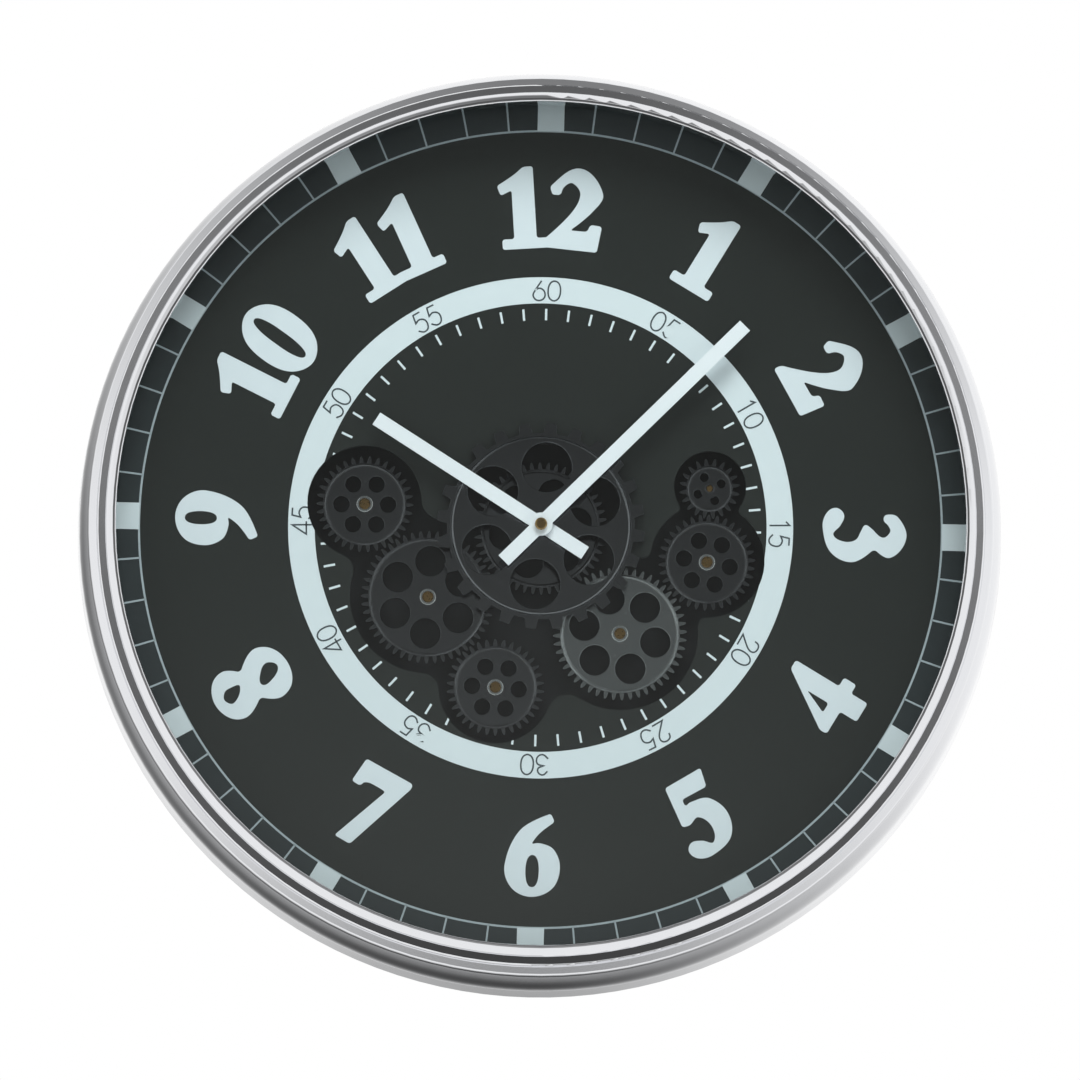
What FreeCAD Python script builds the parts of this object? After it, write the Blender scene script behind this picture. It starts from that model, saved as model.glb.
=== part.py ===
# Round wall clock with a pierced dial.  A battery quartz movement turns the hands and a small
# geared motor turns the show gears, which stand on a round bed plate behind the dial.
# Each piece is drawn with x to the right, y up and z out of the wall.  The wall is z = 0.
import math
import os

import FreeCAD
import Part
import Sketcher

doc = FreeCAD.newDocument("SkeletonClock")
sheet = doc.addObject("Spreadsheet::Sheet", "Sizes")

# Driving dimensions in millimetres, degrees and counts.
SIZES = {
    # Case: the ring's section is stepped from the glass lip outwards and backwards.
    "case_radius": 230.0,
    "rim_width": 22.1,
    "lip_edge": 0.8,
    "lip_land": 0.8,
    "roll_out": 3.9,
    "roll_down": 5.0,
    "roll_radius": 6.0,
    "cove_out": 3.4,
    "cove_step": 1.3,
    "cove_fall": 0.5,
    "bead_out": 1.4,
    "bead_down": 4.4,
    "bead_radius": 7.5,
    "ledge_out": 3.1,
    "ledge_fall": 1.0,
    "shoulder_radius": 64.0,
    "groove_depth": 0.6,
    "groove_width": 1.4,
    "skirt_height": 26.0,
    "skirt_flare": 1.9,
    "heel_radius": 2.0,
    "flange_width": 14.4,
    "shell_wall": 1.4,
    "lip_wall": 5.4,
    # Levels, from the wall to the front of the lip.
    "pad_thickness": 1.2,
    "cover_thickness": 1.2,
    "movement_depth": 21.0,
    "bed_thickness": 1.6,
    "gear_lift": 7.4,
    "gear_thickness": 2.2,
    "dial_gap": 7.0,
    "dial_thickness": 2.0,
    "cup_gap": 1.5,
    "cup_tooth_thickness": 2.0,
    "cup_rise": 2.0,
    "hand_gap": 2.5,
    "hand_step": 2.5,
    "hand_thickness": 0.8,
    "glass_room": 4.5,
    "glass_thickness": 3.0,
    "lip_depth": 10.0,
    # Glass, inner frame, dial and their fixings.
    "glass_clearance": 0.3,
    "glass_bevel": 0.3,
    "frame_wall": 2.0,
    "spacer_wall": 1.2,
    "spacer_set_back": 3.6,
    "frame_out": 13.6,
    "dial_lap": 6.0,
    "dial_clearance": 0.2,
    "frame_clearance": 0.5,
    "foot_width": 12.0,
    "foot_thickness": 3.0,
    "clip_count": 6,
    "clip_length": 12.0,
    "clip_width": 10.0,
    "clip_thickness": 1.0,
    "clip_inset": 4.0,
    "small_screw_radius": 1.2,
    "small_screw_length": 3.6,
    "screw_edge": 0.6,
    "small_head_radius": 2.4,
    "small_head_height": 1.3,
    "recess_width": 0.6,
    "recess_length": 3.1,
    "recess_depth": 0.7,
    "cover_clearance": 0.3,
    "cover_screw_inset": 3.2,
    "cover_screw_turn": 30.0,
    "window_margin": 2.0,
    "pad_count": 3,
    "pad_radius": 7.0,
    "pad_inset": 22.0,
    # Hanger.
    "hanger_height": 188.0,
    "hanger_width": 40.0,
    "hanger_length": 34.0,
    "hanger_thickness": 1.5,
    "hanger_window": 24.0,
    "hanger_corner": 2.0,
    "keyhole_drop": 4.0,
    "keyhole_radius": 4.5,
    "keyhole_slot_width": 4.6,
    "keyhole_slot_length": 10.0,
    "rivet_radius": 1.6,
    "rivet_head_radius": 2.7,
    "rivet_head_height": 0.7,
    "rivet_inset": 4.0,
    # Gear train.  Web holes and pips are given in modules, so that they keep their places
    # between the bush and the teeth when the teeth change size.
    "tooth_module": 1.36,
    "tooth_height": 3.6,
    "tooth_root_width": 2.3,
    "tooth_tip_width": 1.0,
    "tooth_flank_radius": 8.0,
    "tooth_tip_round": 0.62,
    "tooth_tip_rise": 0.25,
    "tooth_draft": 4.0,
    "ring_inset": 0.9,
    "ring_half_width": 0.55,
    "ring_round": 0.63,
    "web_recess": 0.3,
    "hole_bevel": 0.35,
    "large_teeth": 48,
    "large_addendum": 0.5,
    "large_holes": 6,
    "large_hole_radius": 5.44,
    "large_hole_circle": 13.24,
    "medium_teeth": 34,
    "medium_addendum": 1.0,
    "medium_holes": 6,
    "medium_hole_radius": 2.87,
    "medium_hole_circle": 8.46,
    "small_teeth": 20,
    "small_addendum": 1.6,
    "small_holes": 4,
    "small_hole_radius": 1.54,
    "small_hole_circle": 4.63,
    "pip_radius": 0.45,
    "pip_height": 0.25,
    "large_pip_circle": 8.01,
    # Directions from one gear to the next, and how far each pierced web is turned.
    "left_mid_direction": 213.05,
    "left_top_direction": 125.55,
    "bot_left_direction": 308.15,
    "bot_right_direction": 308.25,
    "right_direction": 40.95,
    "top_right_direction": 89.15,
    "centre_web_turn": 71.0,
    "left_mid_web_turn": 87.4,
    "left_top_web_turn": 61.0,
    "bot_left_web_turn": 57.0,
    "bot_right_web_turn": 48.0,
    "right_web_turn": 51.0,
    "top_right_web_turn": 25.5,
    "centre_tooth_turn": 2.0,
    # Gear bushes and posts.
    "post_radius": 2.6,
    "bush_wall": 1.4,
    "small_post_radius": 1.5,
    "small_bush_wall": 1.0,
    "running_clearance": 0.05,
    "bush_flange": 2.0,
    "bush_gap": 1.0,
    "bush_rise": 1.2,
    "bush_round": 0.4,
    "bore_bevel": 0.2,
    "post_bevel": 0.3,
    "post_rise": 0.5,
    "rivet_neck": 0.8,
    # Cup gear in front of the dial.
    "cup_teeth": 24,
    "cup_tip_radius": 51.2,
    "cup_root_radius": 46.2,
    "cup_tooth_root_width": 7.3,
    "cup_tooth_tip_width": 5.1,
    "cup_rim_radius": 44.6,
    "cup_rim_round": 1.9,
    "cup_wall": 1.6,
    "cup_holes": 6,
    "cup_hole_radius": 12.3,
    "cup_hole_circle": 29.1,
    "cup_turn": 85.7,
    "cup_pips": 3,
    "cup_pip_circle": 34.0,
    "cup_pip_turn": 116.5,
    "cup_pip_radius": 0.9,
    "cup_pip_height": 0.5,
    "cup_hub_radius": 10.0,
    # Hands, their arbors and the movement's neck.
    "minute_reach": 141.0,
    "hour_reach": 96.6,
    "hand_tail": 25.8,
    "hand_width": 7.0,
    "hand_hub_radius": 5.7,
    "minute_turn": 44.1,
    "hour_turn": 301.5,
    "arbor_radius": 1.8,
    "hour_tube_radius": 3.0,
    "neck_radius": 4.0,
    "neck_rise": 15.0,
    "sleeve_radius": 6.5,
    "sleeve_flange": 2.5,
    "sleeve_gap": 0.2,
    "collar_wall": 1.6,
    "nut_radius": 3.0,
    "nut_height": 2.4,
    "nut_bore": 1.1,
    "nut_round": 0.8,
    "arbor_rise": 1.7,
    "arbor_gap": 0.4,
    "neck_nut_flat": 11.0,
    "neck_nut_height": 2.0,
    "washer_thickness": 0.4,
    "washer_radius": 7.0,
    # Bed plate.
    "bed_radius": 122.0,
    "standoff_radius": 3.5,
    "standoff_screw_length": 6.0,
    "standoff_top_inset": 22.0,
    "standoff_side_inset": 16.0,
    "standoff_side_turn": 46.4,
    "standoff_left_inset": 9.8,
    "standoff_left_turn": 225.9,
    "standoff_right_inset": 6.8,
    "standoff_right_turn": 323.6,
    "standoff_foot_inset": 6.0,
    "standoff_foot_turn": 282.1,
    # Dial window round the gears, in modules, so that the outline closes round gears of any size.
    "centre_window": 30.51,
    "large_window_gap": 3.9,
    "medium_window_gap": 3.01,
    "small_window_gap": 1.91,
    "hidden_corner": 4.41,
    "tongue_corner": 6.62,
    "side_corner": 5.88,
    "valley_corner": 7.35,
    "inner_corner": 2.94,
    "waist_corner": 1.84,
    # Movement housings and cells.
    "housing_width": 56.0,
    "housing_height": 56.0,
    "housing_corner": 4.0,
    "housing_screw_inset": 4.5,
    "housing_screw_depth": 10.0,
    "motor_height": 46.0,
    "motor_shift_x": 1.6,
    "motor_shift_y": 5.7,
    "cell_radius": 7.1,
    "cell_length": 49.5,
    "cell_nub_radius": 2.7,
    "cell_nub_length": 1.0,
    "cell_clearance": 0.5,
    "bay_end_gap": 1.3,
    "bay_drop": 17.0,
    "motor_bay_drop": 13.5,
    "contact_thickness": 0.4,
    "contact_width": 9.0,
    "spring_radius": 4.0,
    "knob_radius": 6.0,
    "knob_height": 3.0,
    "knob_offset": 14.0,
    "knob_gap": 1.6,
    "knob_sunk": 0.4,
    "knob_ribs": 18,
    "knob_rib_radius": 0.4,
    "knob_slot_length": 8.4,
    "knob_slot_width": 1.2,
    "stem_radius": 2.0,
    "stem_length": 6.0,
    "stem_end_gap": 0.5,
    "slider_length": 4.0,
    "slider_width": 3.0,
    "slider_travel": 3.0,
    "slider_gap": 0.4,
    "slider_sunk": 0.6,
    "slider_height": 1.7,
    "slider_inset_x": 14.0,
    "slider_inset_y": 9.0,
}


class Size:
    """A number together with the sheet expression that gives it."""

    def __init__(self, value, text=None):
        self.value = float(value)
        self.text = text or f"({value:.9g})"

    def __add__(self, other):
        other = as_size(other)
        return Size(self.value + other.value, f"({self.text} + {other.text})")

    def __sub__(self, other):
        other = as_size(other)
        return Size(self.value - other.value, f"({self.text} - {other.text})")

    def __mul__(self, other):
        other = as_size(other)
        return Size(self.value * other.value, f"({self.text} * {other.text})")

    def __truediv__(self, other):
        other = as_size(other)
        return Size(self.value / other.value, f"({self.text} / {other.text})")

    def __neg__(self):
        return Size(-self.value, f"(0 - {self.text})")

    def __radd__(self, other):
        return as_size(other) + self

    def __rsub__(self, other):
        return as_size(other) - self

    def __rmul__(self, other):
        return as_size(other) * self

    def __rtruediv__(self, other):
        return as_size(other) / self


def as_size(value):
    return value if isinstance(value, Size) else Size(value)


def cosine(angle):
    angle = as_size(angle)
    return Size(math.cos(math.radians(angle.value)), f"cos({angle.text} * 1 deg)")


def sine(angle):
    angle = as_size(angle)
    return Size(math.sin(math.radians(angle.value)), f"sin({angle.text} * 1 deg)")


class Named:
    """Gives each driving dimension as a Size: size.case_radius and so on."""


size = Named()
for row, (name, value) in enumerate(SIZES.items(), start=1):
    sheet.set(f"A{row}", str(value))
    sheet.setAlias(f"A{row}", name)
    setattr(size, name, Size(value, f"Sizes.{name}"))
doc.recompute()

# Levels above the wall.
cover_back = size.pad_thickness
cover_front = cover_back + size.cover_thickness
bed_back = size.movement_depth
bed_front = bed_back + size.bed_thickness
gear_back = bed_front + size.gear_lift
dial_back = gear_back + size.dial_gap
dial_front = dial_back + size.dial_thickness
cup_back = dial_front + size.cup_gap
cup_plate_front = cup_back + size.cup_tooth_thickness
cup_front = cup_plate_front + size.cup_rise
hour_back = cup_front + size.hand_gap
minute_back = hour_back + size.hand_step
glass_back = minute_back + size.glass_room
glass_front = glass_back + size.glass_thickness
case_front = glass_front + size.lip_depth
lip_radius = size.case_radius - size.rim_width

PIECES = []


# Drawing helpers -----------------------------------------------------------------------------

def new_body(label, x=0, y=0, z=0, turn=0):
    """Starts a sub-part whose own z axis points out of the wall."""
    body = doc.addObject("PartDesign::Body", label)
    body.Label = label
    body.AllowCompound = True
    x, y, z, turn = as_size(x), as_size(y), as_size(z), as_size(turn)
    body.setExpression(
        "Placement",
        f"placement(vector({x.text}; 0 - {z.text}; {y.text});"
        f" rotation(vector(1; 0; 0); 90) * rotation(vector(0; 0; 1); {turn.text}))")
    PIECES.append(body)
    return body


def new_sketch(body, plane="XY_Plane", lift=0, turn=0):
    """Adds a sketch on one of the body's own planes, raised and turned about its axis."""
    sketch = body.newObject("Sketcher::SketchObject", f"{body.Name}_outline")
    support = [item for item in body.Origin.OriginFeatures if item.Role == plane]
    sketch.AttachmentSupport = [(support[0], "")]
    sketch.MapMode = "FlatFace"
    sketch.setExpression(".AttachmentOffset.Base.z", as_size(lift).text)
    sketch.setExpression(".AttachmentOffset.Rotation.Angle", as_size(turn).text)
    return sketch


def drive(sketch, constraint, amount):
    """Adds one dimension to a sketch and ties it to its expression."""
    index = sketch.addConstraint(constraint)
    sketch.setExpression(f"Constraints[{index}]", as_size(amount).text)


def pin(sketch, element, vertex, x, y):
    """Dimensions one vertex from the sketch's origin."""
    x, y = as_size(x), as_size(y)
    drive(sketch, Sketcher.Constraint("DistanceX", -1, 1, element, vertex, x.value), x)
    drive(sketch, Sketcher.Constraint("DistanceY", -1, 1, element, vertex, y.value), y)


def add_loop(sketch, points):
    """Draws a closed loop.  A third value is the radius of the arc to the next point: above
    zero it bulges to the right of the way the loop runs, below zero to the left."""
    first = sketch.GeometryCount
    corners = [FreeCAD.Vector(as_size(p[0]).value, as_size(p[1]).value, 0) for p in points]
    for place, point in enumerate(points):
        start, end = corners[place], corners[(place + 1) % len(points)]
        if len(point) == 2:
            sketch.addGeometry(Part.LineSegment(start, end), False)
            continue
        radius = as_size(point[2]).value
        half = (end - start) * 0.5
        rise = abs(radius) - math.sqrt(max(radius * radius - half.Length ** 2, 0))
        side = FreeCAD.Vector(half.y, -half.x, 0).normalize() * math.copysign(rise, radius)
        sketch.addGeometry(Part.Arc(start, start + half + side, end), False)
    starts = []
    for place, corner in enumerate(corners):
        element = first + place
        near = sketch.getPoint(element, 1).distanceToPoint(corner)
        far = sketch.getPoint(element, 2).distanceToPoint(corner)
        starts.append(1 if near < far else 2)
    for place, point in enumerate(points):
        element = first + place
        after = (place + 1) % len(points)
        sketch.addConstraint(Sketcher.Constraint(
            "Coincident", element, 3 - starts[place], first + after, starts[after]))
        pin(sketch, element, starts[place], point[0], point[1])
        if len(point) == 3:
            radius = as_size(point[2])
            radius = radius if radius.value > 0 else -radius
            drive(sketch, Sketcher.Constraint("Radius", element, radius.value), radius)


def add_circle(sketch, x, y, radius):
    x, y, radius = as_size(x), as_size(y), as_size(radius)
    centre = FreeCAD.Vector(x.value, y.value, 0)
    element = sketch.addGeometry(Part.Circle(centre, FreeCAD.Vector(0, 0, 1), radius.value), False)
    pin(sketch, element, 3, x, y)
    drive(sketch, Sketcher.Constraint("Radius", element, radius.value), radius)


def box_points(x, y, width, height):
    """Corners of a box centred on x, y."""
    left, right = x - width / 2, x + width / 2
    low, high = y - height / 2, y + height / 2
    return [(left, low), (right, low), (right, high), (left, high)]


def circle_sketch(body, circles, lift=0, turn=0):
    sketch = new_sketch(body, lift=lift, turn=turn)
    for x, y, radius in circles:
        add_circle(sketch, x, y, radius)
    return sketch


def loop_sketch(body, loops, lift=0, turn=0):
    sketch = new_sketch(body, lift=lift, turn=turn)
    for points in loops:
        add_loop(sketch, points)
    return sketch


def turned(body, points):
    """Turns a section of (radius, height) points about the body's axis."""
    sketch = new_sketch(body, plane="XZ_Plane")
    add_loop(sketch, points)
    feature = body.newObject("PartDesign::Revolution", f"{body.Name}_turned")
    feature.Profile = sketch
    feature.ReferenceAxis = (sketch, ["V_Axis"])
    feature.Angle = 360
    doc.recompute()
    return feature


def padded(body, sketch, height, draft=0):
    feature = body.newObject("PartDesign::Pad", f"{body.Name}_pad")
    feature.Profile = sketch
    feature.setExpression("Length", as_size(height).text)
    feature.setExpression("TaperAngle", as_size(draft).text)
    doc.recompute()
    return feature


def pocketed(body, sketch, depth):
    """Cuts down from the sketch, towards the wall."""
    before = body.Tip.Shape.Volume
    feature = body.newObject("PartDesign::Pocket", f"{body.Name}_pocket")
    feature.Profile = sketch
    feature.setExpression("Length", as_size(depth).text)
    doc.recompute()
    if feature.Shape.Volume >= before:
        raise ValueError(f"the pocket in {body.Label} cuts nothing")
    return feature


def repeated(body, feature, count):
    """Repeats a feature round the body's own axis."""
    pattern = body.newObject("PartDesign::PolarPattern", f"{body.Name}_pattern")
    pattern.Originals = [feature]
    pattern.Axis = (feature.Profile[0], ["N_Axis"])
    pattern.Angle = 360
    pattern.setExpression("Occurrences", as_size(count).text)
    body.Tip = pattern
    doc.recompute()
    return pattern


def bevelled(body, feature, radius, height, amount):
    """Bevels the round edges of one radius that lie at one height."""
    names = []
    for number, edge in enumerate(feature.Shape.Edges, start=1):
        if isinstance(edge.Curve, Part.Circle) \
                and abs(edge.Curve.Radius - as_size(radius).value) < 0.001 \
                and abs(edge.Curve.Center.z - as_size(height).value) < 0.001:
            names.append(f"Edge{number}")
    bevel = body.newObject("PartDesign::Chamfer", f"{body.Name}_bevel")
    bevel.Base = (feature, names)
    bevel.setExpression("Size", as_size(amount).text)
    doc.recompute()
    return bevel


def round_places(count, radius, turn=0):
    """Places spaced evenly on a circle about the clock's axis."""
    places = []
    for number in range(int(count.value)):
        angle = as_size(turn) + 360 * number / count
        places.append((radius * cosine(angle), radius * sine(angle)))
    return places


def screw_group(label, places, face, radius, length, head_radius, head_height):
    """Cross-head screws driven from behind: heads below the face, shanks above it."""
    body = new_body(label)
    padded(body, circle_sketch(body, [(x, y, head_radius) for x, y in places],
                               lift=face - head_height), head_height)
    padded(body, circle_sketch(body, [(x, y, radius) for x, y in places],
                               lift=face - head_height / 2), length + head_height / 2)
    floor = face - head_height + size.recess_depth
    across = [box_points(x, y, size.recess_length, size.recess_width) for x, y in places]
    upright = [box_points(x, y, size.recess_width, size.recess_length) for x, y in places]
    for loops in (across, upright):
        pocketed(body, loop_sketch(body, loops, lift=floor), size.recess_depth)
    return body


# Case ----------------------------------------------------------------------------------------

def case_ring():
    """Polished ring: lip, roll, cove, two beads with a ledge between, shoulder and skirt."""
    body = new_body("case_ring")
    land = lip_radius + size.lip_edge + size.lip_land
    roll = (land + size.roll_out, case_front - size.roll_down)
    cove = (roll[0] + size.cove_out, roll[1] - size.cove_step - size.cove_fall)
    bead = (cove[0] + size.bead_out, cove[1] - size.bead_down)
    ledge = (bead[0] + size.ledge_out, bead[1] - size.ledge_fall)
    second = (ledge[0] + size.bead_out, ledge[1] - size.bead_down)
    waist = size.case_radius - size.skirt_flare
    groove_top = size.skirt_height + size.groove_width
    heel = size.case_radius - size.heel_radius
    flange = size.case_radius - size.flange_width
    wall = size.shell_wall
    pocket = lip_radius + size.lip_wall
    turned(body, [
        (lip_radius, glass_front),
        (pocket, glass_front),
        (pocket, bead[1] - wall),
        (ledge[0] - wall, ledge[1] - wall),
        (second[0] - wall, second[1], size.shoulder_radius - wall),
        (waist - wall - size.groove_depth, size.skirt_height),
        (size.case_radius - wall, cover_back + size.heel_radius),
        (size.case_radius - wall, cover_front),
        (flange, cover_front),
        (flange, cover_back),
        (heel, cover_back, size.heel_radius),
        (size.case_radius, cover_back + size.heel_radius),
        (waist, size.skirt_height),
        (waist - size.groove_depth, size.skirt_height + size.groove_width / 2),
        (waist, groove_top, size.shoulder_radius),
        (second[0], second[1], size.bead_radius),
        (ledge[0], ledge[1]),
        (bead[0], bead[1], size.bead_radius),
        (cove[0], cove[1]),
        (roll[0], roll[1] - size.cove_step),
        (roll[0], roll[1], size.roll_radius),
        (land, case_front),
        (lip_radius + size.lip_edge, case_front, size.lip_edge),
        (lip_radius, case_front - size.lip_edge),
    ])


def front_glass():
    body = new_body("front_glass")
    radius = lip_radius + size.lip_wall - size.glass_clearance
    edge = size.glass_bevel
    turned(body, [(0, glass_back), (radius - edge, glass_back), (radius, glass_back + edge),
                  (radius, glass_front - edge), (radius - edge, glass_front), (0, glass_front)])


cover_radius = size.case_radius - size.flange_width - size.cover_clearance
cover_screw_places = round_places(size.clip_count, cover_radius - size.cover_screw_inset,
                                  turn=size.cover_screw_turn)
frame_outer = lip_radius + size.frame_out
dial_radius = lip_radius + size.dial_lap
clip_screw_places = round_places(
    size.clip_count,
    dial_radius + size.dial_clearance + size.small_screw_radius + size.screw_edge)


def inner_frame():
    """Black frame: a thin wall holds the glass, the step seats the dial, the foot the cover."""
    body = new_body("inner_frame")
    spacer_in = lip_radius + size.spacer_set_back
    spacer_out = spacer_in + size.spacer_wall
    pocket = dial_radius + size.dial_clearance
    inside = frame_outer - size.frame_wall
    top = dial_front + size.frame_wall - size.frame_clearance
    foot_top = cover_front + size.foot_thickness
    turned(body, [
        (spacer_in, dial_front),
        (pocket, dial_front),
        (pocket, dial_back),
        (inside, dial_back),
        (inside, foot_top),
        (frame_outer - size.foot_width, foot_top),
        (frame_outer - size.foot_width, cover_front),
        (frame_outer, cover_front),
        (frame_outer, top),
        (spacer_out, top),
        (spacer_out, glass_back),
        (spacer_in, glass_back),
    ])
    bore = size.small_screw_radius
    clip_depth = size.small_screw_length - size.clip_thickness
    clip_bores = circle_sketch(body, [(x, y, bore) for x, y in clip_screw_places],
                               lift=dial_back + clip_depth)
    pocketed(body, clip_bores, clip_depth)
    cover_depth = size.foot_thickness / 2
    cover_bores = circle_sketch(body, [(x, y, bore) for x, y in cover_screw_places],
                                lift=cover_front + cover_depth)
    pocketed(body, cover_bores, cover_depth)


def dial_clips():
    """Tabs screwed to the frame's step, reaching over the back of the dial."""
    middle = dial_radius - size.clip_inset
    body = new_body("dial_clips")
    loops = box_points(middle, as_size(0), size.clip_length, size.clip_width)
    tab = padded(body, loop_sketch(body, [loops], lift=dial_back - size.clip_thickness),
                 size.clip_thickness)
    repeated(body, tab, size.clip_count)
    holes = [(x, y, size.small_screw_radius) for x, y in clip_screw_places]
    pocketed(body, circle_sketch(body, holes, lift=dial_back), size.clip_thickness)


# Gear train ----------------------------------------------------------------------------------

class GearKind:
    """Sizes that all show gears with one tooth count share."""

    def __init__(self, name):
        self.teeth = getattr(size, f"{name}_teeth")
        self.pitch = size.tooth_module * self.teeth / 2
        self.tip = self.pitch + getattr(size, f"{name}_addendum")
        self.root = self.tip - size.tooth_height
        self.holes = getattr(size, f"{name}_holes")
        self.hole_radius = size.tooth_module * getattr(size, f"{name}_hole_radius")
        self.hole_circle = size.tooth_module * getattr(size, f"{name}_hole_circle")
        self.pip_circle = self.hole_circle
        if name == "large":
            self.pip_circle = size.tooth_module * size.large_pip_circle
        self.window = self.tip + size.tooth_module * getattr(size, f"{name}_window_gap")
        post = size.small_post_radius if name == "small" else size.post_radius
        wall = size.small_bush_wall if name == "small" else size.bush_wall
        self.post = post
        self.bush_bore = post + size.running_clearance
        self.bush_outer = self.bush_bore + wall


LARGE = GearKind("large")
MEDIUM = GearKind("medium")
SMALL = GearKind("small")


class Gear:
    """A show gear: where it stands, and the turns of its teeth and of its pierced web."""

    def __init__(self, name, kind, driver=None):
        self.name = name
        self.kind = kind
        self.web_turn = getattr(size, f"{name}_web_turn")
        if driver is None:
            self.x, self.y = as_size(0), as_size(0)
            self.tooth_turn = size.centre_tooth_turn
            return
        direction = getattr(size, f"{name}_direction")
        reach = driver.kind.pitch + kind.pitch
        self.x = driver.x + reach * cosine(direction)
        self.y = driver.y + reach * sine(direction)
        # A tooth of this gear stands in the driver's tooth gap on the line of centres.
        tooth_step = 360 / kind.teeth.value
        driver_turns = (driver.tooth_turn - direction) * driver.kind.teeth / 360
        self.tooth_turn = direction + 180 + (0.5 - driver_turns) * 360 / kind.teeth
        turns = round(self.tooth_turn.value / tooth_step - 0.5)
        self.tooth_turn = self.tooth_turn - turns * 360 / kind.teeth


centre = Gear("centre", LARGE)
left_mid = Gear("left_mid", LARGE, centre)
left_top = Gear("left_top", MEDIUM, left_mid)
bot_left = Gear("bot_left", MEDIUM, left_mid)
bot_right = Gear("bot_right", LARGE, centre)
right = Gear("right", MEDIUM, bot_right)
top_right = Gear("top_right", SMALL, right)
GEARS = [centre, left_mid, left_top, bot_left, bot_right, right, top_right]


def show_gear(gear, bore):
    """Plated gear: ringed and pierced web, slender rounded teeth with a little draft."""
    kind = gear.kind
    body = new_body(f"{gear.name}_gear", gear.x, gear.y, gear_back)
    top = size.gear_thickness
    ring = kind.root - size.ring_inset
    half = size.ring_half_width
    turned(body, [
        (bore, 0),
        (kind.root, 0),
        (kind.root, top),
        (ring + half, top, size.ring_round),
        (ring - half, top),
        (ring - half - size.web_recess, top - size.web_recess),
        (bore, top - size.web_recess),
    ])
    root_half, tip_half = size.tooth_root_width / 2, size.tooth_tip_width / 2
    sunk = kind.root - size.ring_inset / 2
    shoulder = kind.tip - size.tooth_tip_rise
    tooth = loop_sketch(body, [[
        (sunk, -root_half, size.tooth_flank_radius),
        (shoulder, -tip_half, size.tooth_tip_round),
        (shoulder, tip_half, size.tooth_flank_radius),
        (sunk, root_half),
    ]], turn=gear.tooth_turn)
    repeated(body, padded(body, tooth, top, -size.tooth_draft), kind.teeth)
    web_top = top - size.web_recess
    hole = circle_sketch(body, [(kind.hole_circle, 0, kind.hole_radius)],
                         lift=web_top, turn=gear.web_turn)
    holes = repeated(body, pocketed(body, hole, web_top), kind.holes)
    bevelled(body, holes, kind.hole_radius, web_top, size.hole_bevel)
    pips = circle_sketch(body, [(kind.pip_circle, 0, size.pip_radius),
                                (-kind.pip_circle, 0, size.pip_radius)],
                         lift=web_top - size.pip_height,
                         turn=gear.web_turn + 180 / kind.holes)
    padded(body, pips, size.pip_height * 2)


def gear_bush(gear):
    """Bright collar that the gear is pressed on, with a flange behind the gear."""
    kind = gear.kind
    body = new_body(f"{gear.name}_bush", gear.x, gear.y, bed_front + size.bush_gap)
    bore = kind.post if gear is bot_right else kind.bush_bore
    flange = size.gear_lift - size.bush_gap
    top = flange + size.gear_thickness + size.bush_rise
    turned(body, [
        (bore, 0),
        (kind.bush_outer + size.bush_flange, 0),
        (kind.bush_outer + size.bush_flange, flange),
        (kind.bush_outer, flange),
        (kind.bush_outer, top - size.bush_round, size.bush_round),
        (kind.bush_outer - size.bush_round, top),
        (bore + size.bore_bevel, top),
        (bore, top - size.bore_bevel),
    ])


def gear_post(gear):
    """Post riveted into the bed plate; its end shows in the middle of the bush."""
    kind = gear.kind
    body = new_body(f"{gear.name}_post", gear.x, gear.y, bed_back)
    neck = kind.post * size.rivet_neck
    shoulder = size.bed_thickness
    top = shoulder + size.gear_lift + size.gear_thickness + size.bush_rise + size.post_rise
    edge = size.post_bevel
    turned(body, [
        (0, 0),
        (neck, 0),
        (neck, shoulder),
        (kind.post, shoulder),
        (kind.post, top - edge),
        (kind.post - edge, top),
        (0, top),
    ])


def motor_arbor():
    """Brass arbor that reaches from the motor through the bed plate to its gear."""
    body = new_body("bot_right_arbor", bot_right.x, bot_right.y, bed_back - size.stem_length)
    radius = LARGE.post
    top = (size.stem_length + size.bed_thickness + size.gear_lift + size.gear_thickness
           + size.bush_rise + size.post_rise)
    edge = size.post_bevel
    turned(body, [(0, 0), (radius, 0), (radius, top - edge), (radius - edge, top), (0, top)])


def centre_sleeve():
    """Sleeve on the movement's neck that carries the centre gear and the cup gear."""
    bore = size.neck_radius + size.running_clearance
    bottom = bed_front + size.washer_thickness + size.neck_nut_height + size.sleeve_gap
    body = new_body("centre_sleeve")
    turned(body, [
        (bore, bottom),
        (size.sleeve_radius + size.sleeve_flange, bottom),
        (size.sleeve_radius + size.sleeve_flange, gear_back),
        (size.sleeve_radius, gear_back),
        (size.sleeve_radius, cup_front),
        (bore, cup_front),
    ])


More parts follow.
